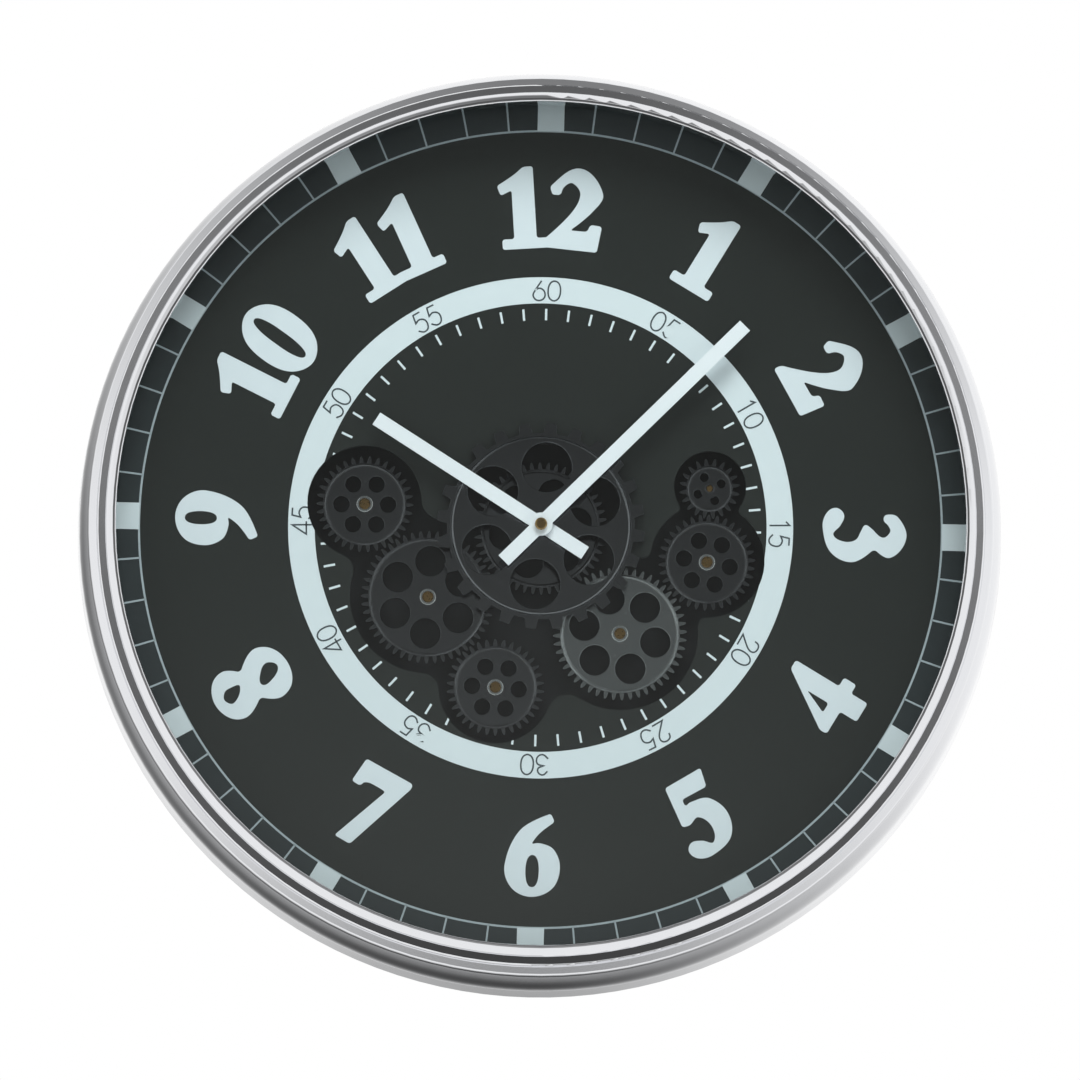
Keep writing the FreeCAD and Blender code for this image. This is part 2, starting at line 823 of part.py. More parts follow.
def cup_gear():
    """Large coarse gear in front of the dial, with a raised, round-edged and pierced disc."""
    body = new_body("cup_gear", z=cup_back)
    plate = size.cup_tooth_thickness
    top = plate + size.cup_rise
    rim = size.cup_rim_radius
    under = top - size.cup_wall
    turned(body, [
        (size.sleeve_radius, 0),
        (size.cup_hub_radius, 0),
        (size.cup_hub_radius, under),
        (rim - size.cup_wall, under),
        (rim - size.cup_wall, 0),
        (size.cup_root_radius, 0),
        (size.cup_root_radius, plate),
        (rim, plate),
        (rim, top - size.cup_rim_round, size.cup_rim_round),
        (rim - size.cup_rim_round, top),
        (size.sleeve_radius, top),
    ])
    sunk = size.cup_root_radius - size.cup_wall / 2
    root_half, tip_half = size.cup_tooth_root_width / 2, size.cup_tooth_tip_width / 2
    tooth = loop_sketch(body, [[
        (sunk, -root_half),
        (size.cup_tip_radius, -tip_half, size.cup_tip_radius),
        (size.cup_tip_radius, tip_half),
        (sunk, root_half),
    ]], turn=size.cup_turn)
    repeated(body, padded(body, tooth, plate, -size.tooth_draft), size.cup_teeth)
    hole = circle_sketch(body, [(size.cup_hole_circle, 0, size.cup_hole_radius)],
                         lift=top, turn=size.cup_turn)
    holes = repeated(body, pocketed(body, hole, top), size.cup_holes)
    bevelled(body, holes, size.cup_hole_radius, top, size.hole_bevel)
    pip = circle_sketch(body, [(size.cup_pip_circle, 0, size.cup_pip_radius)],
                        lift=top - size.pip_height, turn=size.cup_pip_turn)
    repeated(body, padded(body, pip, size.pip_height + size.cup_pip_height), size.cup_pips)


# Hands ---------------------------------------------------------------------------------------

def hand(label, level, turn, reach, bore, collar_radius, collar_depth):
    """Plain bar with a round boss, and a collar behind it that grips its arbor."""
    body = new_body(label, z=level - collar_depth, turn=90 - turn)
    half = size.hand_width / 2
    bar = box_points((reach - size.hand_tail) / 2, as_size(0), reach + size.hand_tail, half * 2)
    padded(body, loop_sketch(body, [bar], lift=collar_depth), size.hand_thickness)
    padded(body, circle_sketch(body, [(0, 0, size.hand_hub_radius)], lift=collar_depth),
           size.hand_thickness)
    padded(body, circle_sketch(body, [(0, 0, collar_radius)]), collar_depth)
    top = collar_depth + size.hand_thickness
    pocketed(body, circle_sketch(body, [(0, 0, bore)], lift=top), top)


def tube(label, inner, outer, bottom, top):
    body = new_body(label, z=bottom)
    length = top - bottom
    turned(body, [(inner, 0), (outer, 0), (outer, length), (inner, length)])


def hand_nut():
    """Round brass nut with an open, rounded end."""
    body = new_body("hand_nut", z=minute_back + size.hand_thickness)
    edge = size.nut_round
    inside = size.arbor_rise
    turned(body, [
        (size.arbor_radius, 0),
        (size.nut_radius, 0),
        (size.nut_radius, size.nut_height - edge, edge),
        (size.nut_radius - edge, size.nut_height),
        (size.nut_bore, size.nut_height),
        (size.nut_bore, inside),
        (size.arbor_radius, inside),
    ])


# Dial ----------------------------------------------------------------------------------------

def flat(gear):
    return FreeCAD.Vector(gear.x.value, gear.y.value, 0)


def corner_centre(first, first_radius, second, second_radius, corner):
    """Centre of a round corner that touches two window circles, on the right of the way."""
    step = flat(second) - flat(first)
    reach = step.Length
    one, two = first_radius + corner, second_radius + corner
    along = (one * one - two * two + reach * reach) / (2 * reach)
    aside = math.sqrt(one * one - along * along)
    step.normalize()
    return flat(first) + step * along + FreeCAD.Vector(step.y, -step.x, 0) * aside


def angle_of(vector):
    return math.atan2(vector.y, vector.x)


def window_sketch(body, lift):
    """One outline round all the gears: an arc round each gear and a round corner between."""
    route = [
        (centre, size.hidden_corner), (left_mid, size.tongue_corner),
        (left_top, size.side_corner), (left_mid, size.side_corner),
        (bot_left, size.valley_corner), (bot_right, size.inner_corner),
        (right, size.waist_corner), (top_right, size.waist_corner),
        (right, size.inner_corner), (bot_right, size.hidden_corner),
    ]
    sketch = new_sketch(body, lift=lift)
    up = FreeCAD.Vector(0, 0, 1)
    count = len(route)
    route = [(gear, size.tooth_module * corner) for gear, corner in route]
    inmost = size.tooth_module * size.centre_window
    radii = [inmost if gear is centre else gear.kind.window for gear, _ in route]
    corners = []
    for step in range(count):
        after = (step + 1) % count
        corners.append(corner_centre(route[step][0], radii[step].value, route[after][0],
                                     radii[after].value, route[step][1].value))
    for step, (gear, corner) in enumerate(route):
        middle, radius = flat(gear), radii[step].value
        begin = angle_of(corners[step - 1] - middle)
        end = angle_of(corners[step] - middle)
        sketch.addGeometry(Part.ArcOfCircle(Part.Circle(middle, up, radius), begin, end), False)
        after = (step + 1) % count
        begin = angle_of(flat(route[after][0]) - corners[step])
        end = angle_of(middle - corners[step])
        sketch.addGeometry(
            Part.ArcOfCircle(Part.Circle(corners[step], up, corner.value), begin, end), False)
    for step, (gear, corner) in enumerate(route):
        arc, bend, next_arc = 2 * step, 2 * step + 1, (2 * step + 2) % (2 * count)
        pin(sketch, arc, 3, gear.x, gear.y)
        drive(sketch, Sketcher.Constraint("Radius", arc, radii[step].value), radii[step])
        drive(sketch, Sketcher.Constraint("Radius", bend, corner.value), corner)
        sketch.addConstraint(Sketcher.Constraint("Tangent", arc, 2, bend, 2))
        sketch.addConstraint(Sketcher.Constraint("Tangent", bend, 1, next_arc, 1))
    return sketch


def dial_plate():
    body = new_body("dial_plate")
    padded(body, circle_sketch(body, [(0, 0, dial_radius)], lift=dial_back), size.dial_thickness)
    pocketed(body, window_sketch(body, dial_front), size.dial_thickness)


# Bed plate and its fixings -------------------------------------------------------------------

def bed_place(inset, turn):
    """A place on the bed plate: how far in from its edge, and which way from the centre."""
    reach = size.bed_radius - inset
    return (reach * cosine(turn), reach * sine(turn))


# Standoffs stand clear of the gears, some between them and some outside them.
standoff_places = [
    bed_place(size.standoff_top_inset, 90),
    bed_place(size.standoff_side_inset, 180 - size.standoff_side_turn),
    bed_place(size.standoff_side_inset, size.standoff_side_turn),
    bed_place(size.standoff_left_inset, size.standoff_left_turn),
    bed_place(size.standoff_right_inset, size.standoff_right_turn),
    bed_place(size.standoff_foot_inset, size.standoff_foot_turn),
]


def gear_bed():
    body = new_body("gear_bed", z=bed_back)
    top = size.bed_thickness
    turned(body, [(0, 0), (size.bed_radius, 0), (size.bed_radius, top), (0, top)])
    holes = [(0, 0, size.neck_radius)]
    for gear in GEARS:
        if gear is bot_right:
            holes.append((gear.x, gear.y, arbor_bore))
        elif gear is not centre:
            holes.append((gear.x, gear.y, gear.kind.post * size.rivet_neck))
    holes += [(x, y, size.small_screw_radius) for x, y in standoff_places]
    holes += [(x, y, size.small_screw_radius) for x, y in housing_screw_places]
    pocketed(body, circle_sketch(body, holes, lift=top), top)


def bed_standoffs():
    """Threaded pillars welded to the back of the dial."""
    body = new_body("bed_standoffs", z=bed_front)
    length = dial_back - bed_front
    pillars = [(x, y, size.standoff_radius) for x, y in standoff_places]
    padded(body, circle_sketch(body, pillars), length)
    bores = [(x, y, size.small_screw_radius) for x, y in standoff_places]
    pocketed(body, circle_sketch(body, bores, lift=size.standoff_screw_length),
             size.standoff_screw_length)


def neck_nut():
    """Hexagon nut that clamps the movement to the bed plate."""
    body = new_body("neck_nut", z=bed_front + size.washer_thickness)
    corner = size.neck_nut_flat / 2 / cosine(30)
    hexagon = [(corner * cosine(60 * side), corner * sine(60 * side)) for side in range(6)]
    padded(body, loop_sketch(body, [hexagon]), size.neck_nut_height)
    bore = circle_sketch(body, [(0, 0, size.neck_radius)], lift=size.neck_nut_height)
    pocketed(body, bore, size.neck_nut_height)


# Movement, motor and cells -------------------------------------------------------------------

motor_x = bot_right.x - size.motor_shift_x
motor_y = bot_right.y - size.motor_shift_y
arbor_bore = LARGE.post + 2 * size.running_clearance
bay_length = size.cell_length + size.cell_nub_length + 2 * size.bay_end_gap
bay_width = 2 * (size.cell_radius + size.cell_clearance)
bay_depth = bay_width
slider_x = motor_x - size.housing_width / 2 + size.slider_inset_x
slider_y = motor_y + size.motor_height / 2 - size.slider_inset_y
screw_reach = size.housing_width / 2 - size.housing_screw_inset
screw_y = motor_y + size.motor_height / 2 - size.housing_screw_inset
housing_screw_places = [(motor_x + screw_reach, screw_y), (motor_x - screw_reach, screw_y)]


def rounded_box(x, y, width, height, corner):
    """Corners and corner arcs of a rounded box, centred on x, y."""
    left, right_side = x - width / 2, x + width / 2
    low, high = y - height / 2, y + height / 2
    return [
        (left + corner, low), (right_side - corner, low, corner),
        (right_side, low + corner), (right_side, high - corner, corner),
        (right_side - corner, high), (left + corner, high, corner),
        (left, high - corner), (left, low + corner, corner),
    ]


def housing(label, x, y, height, bay_y):
    """Closed moulding with a cell bay open to the back."""
    body = new_body(label)
    outline = rounded_box(x, y, size.housing_width, height, size.housing_corner)
    padded(body, loop_sketch(body, [outline]), size.movement_depth)
    bay = box_points(x, bay_y, bay_length, bay_width)
    pocketed(body, loop_sketch(body, [bay], lift=bay_depth), bay_depth)
    return body


def quartz_housing():
    body = housing("quartz_housing", as_size(0), as_size(0), size.housing_height, -size.bay_drop)
    well = size.knob_height + 2 * size.knob_sunk
    knob_well = circle_sketch(body, [(0, size.knob_offset, size.knob_radius + size.knob_gap)],
                              lift=well)
    pocketed(body, knob_well, well)
    stem_top = well + size.stem_length
    stem = circle_sketch(
        body, [(0, size.knob_offset, size.stem_radius + size.running_clearance)], lift=stem_top)
    pocketed(body, stem, size.stem_length)


def motor_housing():
    body = housing("motor_housing", motor_x, motor_y, size.motor_height,
                   motor_y - size.motor_bay_drop)
    arbor = circle_sketch(body, [(bot_right.x, bot_right.y, arbor_bore)], lift=bed_back)
    pocketed(body, arbor, size.stem_length + size.stem_end_gap)
    slot = box_points(slider_x, slider_y,
                      size.slider_length + size.slider_travel + size.slider_gap,
                      size.slider_width + size.slider_gap)
    floor = size.slider_sunk + size.slider_height + 2 * size.running_clearance
    pocketed(body, loop_sketch(body, [slot], lift=floor), floor)
    screws = [(x, y, size.small_screw_radius) for x, y in housing_screw_places]
    pocketed(body, circle_sketch(body, screws, lift=bed_back), size.housing_screw_depth)


def housing_screws():
    """Screws through the bed plate into the motor housing, heads towards the dial."""
    body = new_body("motor_screws")
    heads = [(x, y, size.small_head_radius) for x, y in housing_screw_places]
    shanks = [(x, y, size.small_screw_radius) for x, y in housing_screw_places]
    bottom = bed_back - size.standoff_screw_length
    padded(body, circle_sketch(body, heads, lift=bed_front), size.small_head_height)
    padded(body, circle_sketch(body, shanks, lift=bottom),
           bed_front - bottom + size.small_head_height / 2)


def cell(label, x, y):
    """Round cell lying across its bay, with a nub on its right end."""
    body = new_body(label)
    level = size.cell_radius + size.cell_clearance
    whole = size.cell_length + size.cell_nub_length
    for radius, start, length in (
            (size.cell_radius, x - whole / 2, size.cell_length),
            (size.cell_nub_radius, x + whole / 2 - size.cell_nub_length * 2,
             size.cell_nub_length * 2)):
        sketch = new_sketch(body, plane="YZ_Plane", lift=start)
        add_circle(sketch, y, level, radius)
        padded(body, sketch, length)


def contacts(label, x, y):
    """Spring and plate contacts at the ends of a cell bay, drawn as plates with round bosses."""
    body = new_body(label)
    level = size.cell_radius + size.cell_clearance
    sheet_metal = size.contact_thickness
    boss = size.bay_end_gap - sheet_metal
    ends = ((x - bay_length / 2, x - bay_length / 2 + sheet_metal / 2, size.spring_radius),
            (x + bay_length / 2 - sheet_metal,
             x + bay_length / 2 - sheet_metal - boss, size.cell_nub_radius))
    for start, boss_start, boss_radius in ends:
        plate = new_sketch(body, plane="YZ_Plane", lift=start)
        add_loop(plate, box_points(y, level, size.contact_width, size.contact_width))
        padded(body, plate, sheet_metal)
        round_boss = new_sketch(body, plane="YZ_Plane", lift=boss_start)
        add_circle(round_boss, y, level, boss_radius)
        padded(body, round_boss, boss + sheet_metal / 2)


def set_knob():
    """Ribbed knob at the back that sets the hands."""
    body = new_body("set_knob", 0, size.knob_offset, size.knob_sunk)
    drum = size.knob_radius - size.knob_rib_radius
    padded(body, circle_sketch(body, [(0, 0, drum)]), size.knob_height)
    rib = circle_sketch(body, [(drum, 0, size.knob_rib_radius)])
    repeated(body, padded(body, rib, size.knob_height), size.knob_ribs)
    padded(body, circle_sketch(body, [(0, 0, size.stem_radius)], lift=size.knob_height / 2),
           size.knob_height / 2 + size.stem_length)
    slot = box_points(as_size(0), as_size(0), size.knob_slot_length, size.knob_slot_width)
    pocketed(body, loop_sketch(body, [slot], lift=size.recess_depth), size.recess_depth)


def switch_slider():
    """Thumb slider of the motor switch; its end of travel to the right is on."""
    body = new_body("switch_slider", slider_x - size.slider_travel / 2, slider_y)
    block = box_points(as_size(0), as_size(0), size.slider_length, size.slider_width)
    padded(body, loop_sketch(body, [block], lift=size.slider_sunk), size.slider_height)


# Back ----------------------------------------------------------------------------------------

def back_cover():
    """Thin plate screwed to the frame's foot, with windows at both housings and the hanger."""
    body = new_body("back_cover", z=cover_back)
    top = size.cover_thickness
    turned(body, [(0, 0), (cover_radius, 0), (cover_radius, top), (0, top)])
    half = size.housing_width / 2 + size.window_margin
    left, motor_left, motor_right = -half, motor_x - half, motor_x + half
    top_side = size.housing_height / 2 + size.window_margin
    motor_top = motor_y + size.motor_height / 2 + size.window_margin
    motor_low = motor_y - size.motor_height / 2 - size.window_margin
    step = [
        (left, -top_side), (motor_left, -top_side), (motor_left, motor_low),
        (motor_right, motor_low), (motor_right, motor_top), (half, motor_top),
        (half, top_side), (left, top_side),
    ]
    hanger = box_points(as_size(0), size.hanger_height, size.hanger_window, size.hanger_window)
    pocketed(body, loop_sketch(body, [step, hanger], lift=top), top)
    holes = [(x, y, size.small_screw_radius) for x, y in cover_screw_places]
    holes += [(x, y, size.rivet_radius) for x, y in rivet_places()]
    pocketed(body, circle_sketch(body, holes, lift=top), top)


def rivet_places():
    across = size.hanger_width / 2 - size.rivet_inset
    along = size.hanger_length / 2 - size.rivet_inset
    return [(across * sx, size.hanger_height + along * sy) for sx in (-1, 1) for sy in (-1, 1)]


def hanger_plate():
    """Steel plate with a keyhole: the screw head enters the round hole and the clock drops."""
    body = new_body("hanger_plate", z=cover_front)
    top = size.hanger_thickness
    plate = rounded_box(as_size(0), size.hanger_height, size.hanger_width, size.hanger_length,
                        size.hanger_corner)
    padded(body, loop_sketch(body, [plate]), top)
    hole_y = size.hanger_height - size.keyhole_drop
    pocketed(body, circle_sketch(body, [(0, hole_y, size.keyhole_radius)], lift=top), top)
    slot_end = hole_y + size.keyhole_slot_length
    slot = box_points(as_size(0), (hole_y + slot_end) / 2,
                      size.keyhole_slot_width, size.keyhole_slot_length)
    pocketed(body, loop_sketch(body, [slot], lift=top), top)
    round_end = circle_sketch(body, [(0, slot_end, size.keyhole_slot_width / 2)], lift=top)
    pocketed(body, round_end, top)
    rivets = [(x, y, size.rivet_radius) for x, y in rivet_places()]
    pocketed(body, circle_sketch(body, rivets, lift=top), top)


def hanger_rivets():
    body = new_body("hanger_rivets")
    heads = [(x, y, size.rivet_head_radius) for x, y in rivet_places()]
    shanks = [(x, y, size.rivet_radius) for x, y in rivet_places()]
    top = cover_front + size.hanger_thickness
    padded(body, circle_sketch(body, heads, lift=cover_back - size.rivet_head_height),
           size.rivet_head_height)
    padded(body, circle_sketch(body, shanks, lift=cover_back), top - cover_back)
    padded(body, circle_sketch(body, heads, lift=top), size.rivet_head_height)


def wall_pads():
    """Felt pads that keep the back level against the wall."""
    body = new_body("wall_pads")
    places = round_places(size.pad_count, cover_radius - size.pad_inset,
                          turn=size.cover_screw_turn)
    padded(body, circle_sketch(body, [(x, y, size.pad_radius) for x, y in places]),
           size.pad_thickness)


# Build ---------------------------------------------------------------------------------------

case_ring()
front_glass()
inner_frame()
dial_plate()
dial_clips()
screw_group("dial_clip_screws", clip_screw_places, dial_back - size.clip_thickness,
            size.small_screw_radius, size.small_screw_length - size.clip_thickness,
            size.small_head_radius, size.small_head_height)

gear_bed()
bed_standoffs()
screw_group("bed_screws", standoff_places, bed_back, size.small_screw_radius,
            size.bed_thickness + size.standoff_screw_length,
            size.small_head_radius, size.small_head_height)

show_gear(centre, size.sleeve_radius)
centre_sleeve()
cup_gear()
for gear in GEARS[1:]:
    show_gear(gear, gear.kind.bush_outer)
    gear_bush(gear)
    if gear is not bot_right:
        gear_post(gear)
motor_arbor()

quartz_housing()
tube("neck_tube", size.hour_tube_radius + size.running_clearance, size.neck_radius,
     bed_back, bed_back + size.neck_rise)
tube("neck_washer", size.neck_radius, size.washer_radius, bed_front,
     bed_front + size.washer_thickness)
neck_nut()
set_knob()
cell("clock_cell", as_size(0), -size.bay_drop)
contacts("clock_contacts", as_size(0), -size.bay_drop)
motor_housing()
housing_screws()
switch_slider()
cell("motor_cell", motor_x, motor_y - size.motor_bay_drop)
contacts("motor_contacts", motor_x, motor_y - size.motor_bay_drop)

hour_bore = size.arbor_radius + size.running_clearance
hour_top = hour_back + size.hand_thickness + size.washer_thickness
tube("hour_tube", hour_bore, size.hour_tube_radius, bed_back + size.arbor_gap, hour_top)
hand("hour_hand", hour_back, size.hour_turn, size.hour_reach, size.hour_tube_radius,
     size.hour_tube_radius + size.collar_wall, size.hand_gap - size.hand_thickness)
arbor_top = minute_back + size.hand_thickness + size.arbor_rise
tube("minute_arbor", as_size(0), size.arbor_radius, bed_back + size.arbor_gap, arbor_top)
hand("minute_hand", minute_back, size.minute_turn, size.minute_reach, size.arbor_radius,
     size.arbor_radius + size.collar_wall, size.hand_thickness)
hand_nut()

back_cover()
screw_group("cover_screws", cover_screw_places, cover_back, size.small_screw_radius,
            size.cover_thickness + size.foot_thickness / 2,
            size.small_head_radius, size.rivet_head_height)
hanger_plate()
hanger_rivets()
wall_pads()

doc.recompute()

# Write ---------------------------------------------------------------------------------------

for item in doc.Objects:
    if "Invalid" in item.State or "Error" in item.State:
        raise ValueError(f"{item.Label} did not recompute: {item.State}")
os.makedirs("parts", exist_ok=True)
for piece in PIECES:
    shape = piece.Shape
    if shape.isNull() or not shape.isValid() or not shape.Solids:
        raise ValueError(f"{piece.Label} has no valid solid")
    shape.exportStep(f"parts/{piece.Label}.step")
print(f"{len(PIECES)} sub-parts written")
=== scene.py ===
"""Looks of the round wall clock: plated ring and gears, printed dial, hands, glass and studio."""
import math

import bpy
from mathutils import Euler, Matrix, Vector


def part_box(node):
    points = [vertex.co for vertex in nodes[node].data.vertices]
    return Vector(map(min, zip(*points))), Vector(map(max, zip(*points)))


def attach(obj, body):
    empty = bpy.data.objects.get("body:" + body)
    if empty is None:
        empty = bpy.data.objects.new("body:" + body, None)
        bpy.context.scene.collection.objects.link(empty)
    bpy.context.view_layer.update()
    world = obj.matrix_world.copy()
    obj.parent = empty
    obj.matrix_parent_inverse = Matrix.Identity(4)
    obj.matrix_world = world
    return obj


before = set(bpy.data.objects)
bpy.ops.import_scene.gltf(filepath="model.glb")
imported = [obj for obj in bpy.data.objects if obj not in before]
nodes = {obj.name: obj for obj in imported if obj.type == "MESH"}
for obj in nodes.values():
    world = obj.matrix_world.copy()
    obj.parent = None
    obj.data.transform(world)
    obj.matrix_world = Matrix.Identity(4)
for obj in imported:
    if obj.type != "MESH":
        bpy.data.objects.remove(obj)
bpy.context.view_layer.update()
MM = 0.001


# Helpers -------------------------------------------------------------------------------------

LINEAR_LIMIT = 0.04045


def linear(code):
    """Linear colour of an sRGB hex code."""
    parts = [int(code[place:place + 2], 16) / 255 for place in (1, 3, 5)]
    return [p / 12.92 if p <= LINEAR_LIMIT else ((p + 0.055) / 1.055) ** 2.4 for p in parts] + [1.0]


def new_material(name):
    material = bpy.data.materials.new(name)
    material.use_nodes = True
    material.node_tree.nodes.clear()
    return material, material.node_tree


def node(tree, kind, settings=None, **links):
    """Adds a node.  Settings are its own fields; links are values or sockets for its inputs,
    named by the input's name or, as i0 or i6, by its number."""
    made = tree.nodes.new(kind)
    for field, value in (settings or {}).items():
        setattr(made, field, value)
    for name, value in links.items():
        numbered = name[1:].isdigit()
        socket = made.inputs[int(name[1:]) if numbered else name.replace("_", " ")]
        if isinstance(value, bpy.types.NodeSocket):
            tree.links.new(value, socket)
        else:
            socket.default_value = value
    return made


def finish_surface(tree, shader):
    output = node(tree, "ShaderNodeOutputMaterial")
    tree.links.new(shader.outputs[0], output.inputs["Surface"])


def grain(tree, size_mm, detail=2.0, roughness=0.5):
    """Noise whose grains are about size_mm across on the object."""
    place = node(tree, "ShaderNodeTexCoord").outputs["Object"]
    return node(tree, "ShaderNodeTexNoise", Vector=place, Scale=1 / (size_mm * MM),
                Detail=detail, Roughness=roughness)


# A noise pattern rarely leaves these bounds.
NOISE_LOW, NOISE_HIGH = 0.25, 0.75


def between(tree, source, low, high):
    """Spreads a noise pattern between two numbers."""
    return node(tree, "ShaderNodeMapRange", Value=source, From_Min=NOISE_LOW, From_Max=NOISE_HIGH,
                To_Min=low, To_Max=high).outputs["Result"]


def tinted(tree, source, first, second):
    """Blends two colours by a pattern."""
    return node(tree, "ShaderNodeMix", {"data_type": "RGBA"}, i0=source, i6=first,
                i7=second).outputs[2]


# Materials -----------------------------------------------------------------------------------

def polished_ring():
    """Polished, plated spun metal: a bright mirror, a little uneven, with cloudy patches."""
    material, tree = new_material("polished_plated_metal")
    pits = grain(tree, 1.1, detail=3.0)
    clouds = grain(tree, 26.0, detail=2.0)
    rough = between(tree, clouds.outputs["Fac"], 0.045, 0.13)
    bump = node(tree, "ShaderNodeBump", Strength=0.12, Distance=0.05 * MM,
                Height=pits.outputs["Fac"])
    shader = node(tree, "ShaderNodeBsdfPrincipled", Base_Color=linear("#e6e7ea"), Metallic=1.0,
                  Roughness=rough, Normal=bump.outputs["Normal"])
    finish_surface(tree, shader)
    return material


def dark_nickel(name, code, low, high):
    """Black-nickel plate on a moulded gear: a dim mirror with softened edges."""
    material, tree = new_material(name)
    clouds = grain(tree, 9.0, detail=3.0)
    rough = between(tree, clouds.outputs["Fac"], low, high)
    edge = node(tree, "ShaderNodeBevel", {"samples": 6}, Radius=0.22 * MM)
    bump = node(tree, "ShaderNodeBump", Strength=0.10, Distance=0.08 * MM,
                Height=clouds.outputs["Fac"], Normal=edge.outputs["Normal"])
    shader = node(tree, "ShaderNodeBsdfPrincipled", Base_Color=linear(code), Metallic=1.0,
                  Roughness=rough, Normal=bump.outputs["Normal"])
    finish_surface(tree, shader)
    return material


def bright_plate():
    """Bright nickel on the bushes: a clean small mirror."""
    material, tree = new_material("bright_nickel_plate")
    marks = grain(tree, 0.8)
    rough = between(tree, marks.outputs["Fac"], 0.08, 0.2)
    shader = node(tree, "ShaderNodeBsdfPrincipled", Base_Color=linear("#e2e2e4"), Metallic=1.0,
                  Roughness=rough)
    finish_surface(tree, shader)
    return material


def turned_brass():
    """Turned brass: warm metal with a slightly browned, mottled face."""
    material, tree = new_material("turned_brass")
    stain = grain(tree, 1.4, detail=3.0)
    colour = tinted(tree, stain.outputs["Fac"], linear("#c9a574"), linear("#a07f4c"))
    rough = between(tree, stain.outputs["Fac"], 0.22, 0.4)
    shader = node(tree, "ShaderNodeBsdfPrincipled", Base_Color=colour, Metallic=1.0,
                  Roughness=rough)
    finish_surface(tree, shader)
    return material


def zinc_steel():
    """Zinc-plated steel: pale grey metal with a dull spangle."""
    material, tree = new_material("zinc_plated_steel")
    spangle = grain(tree, 2.5, detail=3.0)
    colour = tinted(tree, spangle.outputs["Fac"], linear("#b9bcc0"), linear("#a3a6ab"))
    rough = between(tree, spangle.outputs["Fac"], 0.28, 0.45)
    shader = node(tree, "ShaderNodeBsdfPrincipled", Base_Color=colour, Metallic=1.0,
                  Roughness=rough)
    finish_surface(tree, shader)
    return material


def satin_paint(name, code, second, roughness, speck_mm=0.6):
    """Sprayed paint: even colour under a faint orange-peel skin."""
    material, tree = new_material(name)
    peel = grain(tree, speck_mm, detail=2.0)
    drift = grain(tree, 60.0, detail=2.0)
    colour = tinted(tree, drift.outputs["Fac"], linear(code), linear(second))
    bump = node(tree, "ShaderNodeBump", Strength=0.06, Distance=0.03 * MM,
                Height=peel.outputs["Fac"])
    rough = between(tree, peel.outputs["Fac"], roughness - 0.04, roughness + 0.04)
    shader = node(tree, "ShaderNodeBsdfPrincipled", Base_Color=colour, Roughness=rough,
                  Normal=bump.outputs["Normal"])
    finish_surface(tree, shader)
    return material


def moulded_plastic(name, code, second, roughness):
    """Moulded ABS: satin skin with a fine spark-eroded texture."""
    material, tree = new_material(name)
    skin = grain(tree, 0.5, detail=1.0)
    drift = grain(tree, 18.0)
    colour = tinted(tree, drift.outputs["Fac"], linear(code), linear(second))
    bump = node(tree, "ShaderNodeBump", Strength=0.15, Distance=0.04 * MM,
                Height=skin.outputs["Fac"])
    rough = between(tree, drift.outputs["Fac"], roughness - 0.05, roughness + 0.05)
    shader = node(tree, "ShaderNodeBsdfPrincipled", Base_Color=colour, Roughness=rough,
                  IOR=1.54, Normal=bump.outputs["Normal"])
    finish_surface(tree, shader)
    return material


GLASS_SHEEN = 0.04
SHEEN_RISE = 5.0


def clear_glass():
    """Clear float glass: light passes, and a thin sheen grows towards a slanting view."""
    material, tree = new_material("clear_float_glass")
    slant = node(tree, "ShaderNodeLayerWeight", Blend=0.5).outputs["Facing"]
    steep = node(tree, "ShaderNodeMath", {"operation": "POWER"}, i0=slant,
                 i1=SHEEN_RISE)
    sheen = node(tree, "ShaderNodeMath", {"operation": "MULTIPLY_ADD"}, i0=steep.outputs[0],
                 i1=1 - GLASS_SHEEN, i2=GLASS_SHEEN)
    through = node(tree, "ShaderNodeBsdfTransparent", Color=linear("#f8fbfa"))
    mirror = node(tree, "ShaderNodeBsdfGlossy", Color=linear("#ffffff"), Roughness=0.02)
    blend = node(tree, "ShaderNodeMixShader", i0=sheen.outputs[0], i1=through.outputs[0],
                 i2=mirror.outputs[0])
    finish_surface(tree, blend)
    return material


def printed_ink(name, code, second):
    """Screen-printed ink: flat and matt, with slight unevenness of the film."""
    material, tree = new_material(name)
    film = grain(tree, 5.0, detail=4.0)
    colour = tinted(tree, film.outputs["Fac"], linear(code), linear(second))
    rough = between(tree, film.outputs["Fac"], 0.42, 0.55)
    shader = node(tree, "ShaderNodeBsdfPrincipled", Base_Color=colour, Roughness=rough)
    finish_surface(tree, shader)
    return material


def felt():
    """Pressed felt: matt, fuzzy and dark."""
    material, tree = new_material("pressed_felt")
    fibres = grain(tree, 0.4, detail=6.0, roughness=0.7)
    colour = tinted(tree, fibres.outputs["Fac"], linear("#2a2a2b"), linear("#3b3b3c"))
    bump = node(tree, "ShaderNodeBump", Strength=0.6, Distance=0.2 * MM,
                Height=fibres.outputs["Fac"])
    shader = node(tree, "ShaderNodeBsdfPrincipled", Base_Color=colour, Roughness=0.95,
                  Sheen_Weight=0.3, Normal=bump.outputs["Normal"])
    finish_surface(tree, shader)
    return material


